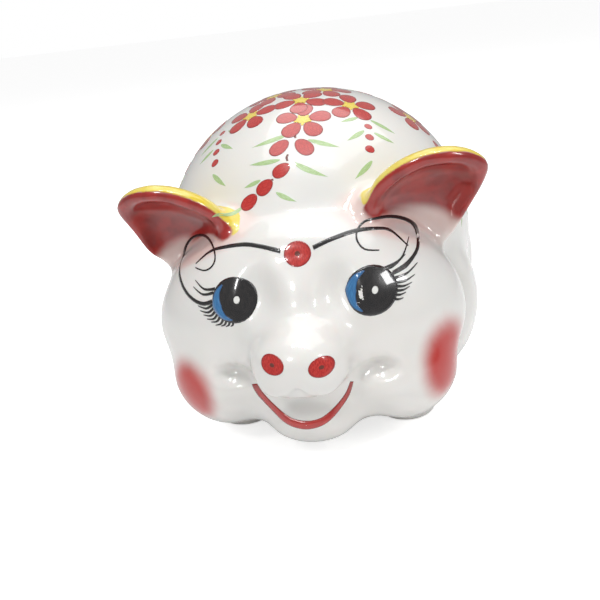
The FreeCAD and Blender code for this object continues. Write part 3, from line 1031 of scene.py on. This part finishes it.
FINISHES = {
    "red": ("red_touches", (0.42, 0.010, 0.008), (0.62, 0.035, 0.025), (0.28, 0.006, 0.006)),
    "green": ("green_leaves", (0.30, 0.48, 0.16), (0.55, 0.70, 0.40), (0.42, 0.62, 0.30)),
    "yellow": ("yellow_middles", (0.84, 0.62, 0.03), (0.88, 0.74, 0.14), (0.70, 0.42, 0.03)),
    # Brown is the stalks' paint, and also the painted shade in the dented middles of the brow spot and
    # nostrils
    "brown": ("stalks_and_painted_dent_shade", (0.11, 0.02, 0.012), (0.19, 0.04, 0.025), (0.16, 0.02, 0.014)),
    "black": ("black_lines", (0.006, 0.006, 0.007), (0.018, 0.015, 0.015), (0.006, 0.006, 0.007)),
    "blue": ("blue_crescents", (0.02, 0.12, 0.32), (0.05, 0.24, 0.50), (0.015, 0.08, 0.22)),
    "white": ("white_lights", (0.80, 0.80, 0.76), (0.88, 0.88, 0.85), (0.55, 0.56, 0.54)),
}
ENAMEL_THICKNESS = 0.3 * MM
for colour, (piece_name, dark, light, rim) in FINISHES.items():
    if not touches.get(colour):
        continue
    select_only(*touches[colour])
    if len(touches[colour]) > 1:
        bpy.ops.object.join()
    piece = bpy.context.object
    piece.name = piece.data.name = piece_name
    for polygon in piece.data.polygons:
        polygon.use_smooth = True
    apply_modifier(piece, "SOLIDIFY", thickness=ENAMEL_THICKNESS, offset=-1)
    piece.data.materials.clear()
    piece.data.materials.append(enamel(f"{colour}_enamel", dark, light, rim))
    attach(piece, "bank")
    size_note(piece)
for pattern in (disc, strip):
    bpy.data.objects.remove(pattern)

# %% [markdown]
# ## The rubber stopper
# The stopper's shape is already right in the frame, so it keeps its own mesh and only gets a finish: soft
# black rubber, dull, with the fine cloudy bloom that rubber gets with age and a slight grain from its
# mould.

# %% Rubber
rubber = bpy.data.materials.new("stopper_rubber")
rubber.use_nodes = True
tree = rubber.node_tree
shader = tree.nodes["Principled BSDF"]
shader.inputs["Specular IOR Level"].default_value = 0.35
where = node(tree, "ShaderNodeTexCoord", (-1200, 0))
bloom = node(tree, "ShaderNodeTexNoise", (-900, 150))
bloom.inputs["Scale"].default_value = 120
bloom.inputs["Detail"].default_value = 6
grain = node(tree, "ShaderNodeTexNoise", (-900, -200))
grain.inputs["Scale"].default_value = 2200
for texture in (bloom, grain):
    tree.links.new(where.outputs["Object"], texture.inputs["Vector"])
bloomed = ranged(tree, (-600, 150), bloom.outputs["Fac"], 0.4, 0.75)
tree.links.new(colour_mix(tree, (-300, 150), (0.022, 0.021, 0.02), (0.075, 0.072, 0.068), bloomed),
               shader.inputs["Base Color"])
dullness = ranged(tree, (-300, -50), bloom.outputs["Fac"], 0.3, 0.8, 0.5, 0.75)
tree.links.new(dullness, shader.inputs["Roughness"])
bump = node(tree, "ShaderNodeBump", (-300, -250))
bump.inputs["Strength"].default_value = 0.25
bump.inputs["Distance"].default_value = 0.0001
tree.links.new(grain.outputs["Fac"], bump.inputs["Height"])
tree.links.new(bump.outputs["Normal"], shader.inputs["Normal"])
for slot in nodes["belly_stopper"].material_slots:
    slot.material = rubber
print("stopper:", [slot.name for slot in nodes["belly_stopper"].material_slots])

# %% [markdown]
# ## Floor, light and camera
# The pig stands on a pale sweep under soft studio light, and the camera looks down at its face from a
# little to its left.

# %% Stage


def soft_light(name, place, aim, size, power, tint=(1, 1, 1)):
    lamp = bpy.data.lights.new(name, "AREA")
    lamp.shape = "RECTANGLE"
    lamp.size, lamp.size_y = size
    lamp.energy = power
    lamp.color = tint
    thing = bpy.data.objects.new(name, lamp)
    thing.location = place
    thing.rotation_euler = (Vector(aim) - Vector(place)).to_track_quat("-Z", "Y").to_euler()
    bpy.context.scene.collection.objects.link(thing)
    return thing


pig_middle = (0, 0, 0.08)
soft_light("overhead_light", (0.1, 0.3, 1.5), pig_middle, (1.5, 1.5), 11)
soft_light("key_light", (-0.35, -0.9, 0.95), pig_middle, (0.16, 0.16), 2.4)
soft_light("side_light", (0.75, -0.6, 0.75), pig_middle, (0.1, 0.3), 1.8)
for across in (-0.22, 0, 0.22):
    soft_light("ceiling_lamp", (across, -0.35, 1.3), pig_middle, (0.09, 0.09), 1.3)

world = bpy.data.worlds.new("studio")
world.use_nodes = True
world.node_tree.nodes["Background"].inputs["Color"].default_value = (1, 1, 1, 1)
# The studio wall is white to look at, but sheds less light than that, so that the lamps model the shape
seen = world.node_tree.nodes.new("ShaderNodeLightPath")
wall = world.node_tree.nodes.new("ShaderNodeMapRange")
wall.inputs["To Min"].default_value = 0.36
wall.inputs["To Max"].default_value = 1.0
world.node_tree.links.new(seen.outputs["Is Camera Ray"], wall.inputs["Value"])
world.node_tree.links.new(wall.outputs["Result"], world.node_tree.nodes["Background"].inputs["Strength"])
bpy.context.scene.world = world
bpy.context.scene.view_settings.view_transform = "Standard"

bpy.ops.mesh.primitive_plane_add(size=40)
floor = bpy.context.object
floor.name = "floor"
floor_paint = bpy.data.materials.new("pale_floor")
floor_paint.use_nodes = True
floor_shader = floor_paint.node_tree.nodes["Principled BSDF"]
floor_shader.inputs["Base Color"].default_value = (0.96, 0.96, 0.96, 1)
floor_shader.inputs["Roughness"].default_value = 0.7
# The sweep glows a little, but only for the camera, so the pale floor stays even and lights nothing
glow = floor_paint.node_tree.nodes.new("ShaderNodeLightPath")
dimmed = floor_paint.node_tree.nodes.new("ShaderNodeMath")
dimmed.operation = "MULTIPLY"
dimmed.inputs[1].default_value = 0.62
floor_paint.node_tree.links.new(glow.outputs["Is Camera Ray"], dimmed.inputs[0])
floor_shader.inputs["Emission Color"].default_value = (1, 1, 1, 1)
floor_paint.node_tree.links.new(dimmed.outputs["Value"], floor_shader.inputs["Emission Strength"])
floor.data.materials.append(floor_paint)

# %% Camera
AZIMUTH, ELEVATION, ROLL = (math.radians(angle) for angle in (9.2, 22, -6.7))
DISTANCE = 0.3954
AIM = Vector((-7.6, -37, 72)) * MM

back = Vector((
    math.sin(AZIMUTH) * math.cos(ELEVATION),
    -math.cos(AZIMUTH) * math.cos(ELEVATION),
    math.sin(ELEVATION),
))
level_right = Vector((math.cos(AZIMUTH), math.sin(AZIMUTH), 0))
level_up = back.cross(level_right)
right = level_right * math.cos(ROLL) + level_up * math.sin(ROLL)
up = level_up * math.cos(ROLL) - level_right * math.sin(ROLL)
lens = bpy.data.cameras.new("camera")
lens.sensor_width = 36
lens.lens = 42
lens.clip_start = 0.01
camera = bpy.data.objects.new("camera", lens)
turned = Matrix((right, up, back)).transposed().to_4x4()
camera.matrix_world = Matrix.Translation(AIM + back * DISTANCE) @ turned
bpy.context.scene.collection.objects.link(camera)
bpy.context.scene.camera = camera
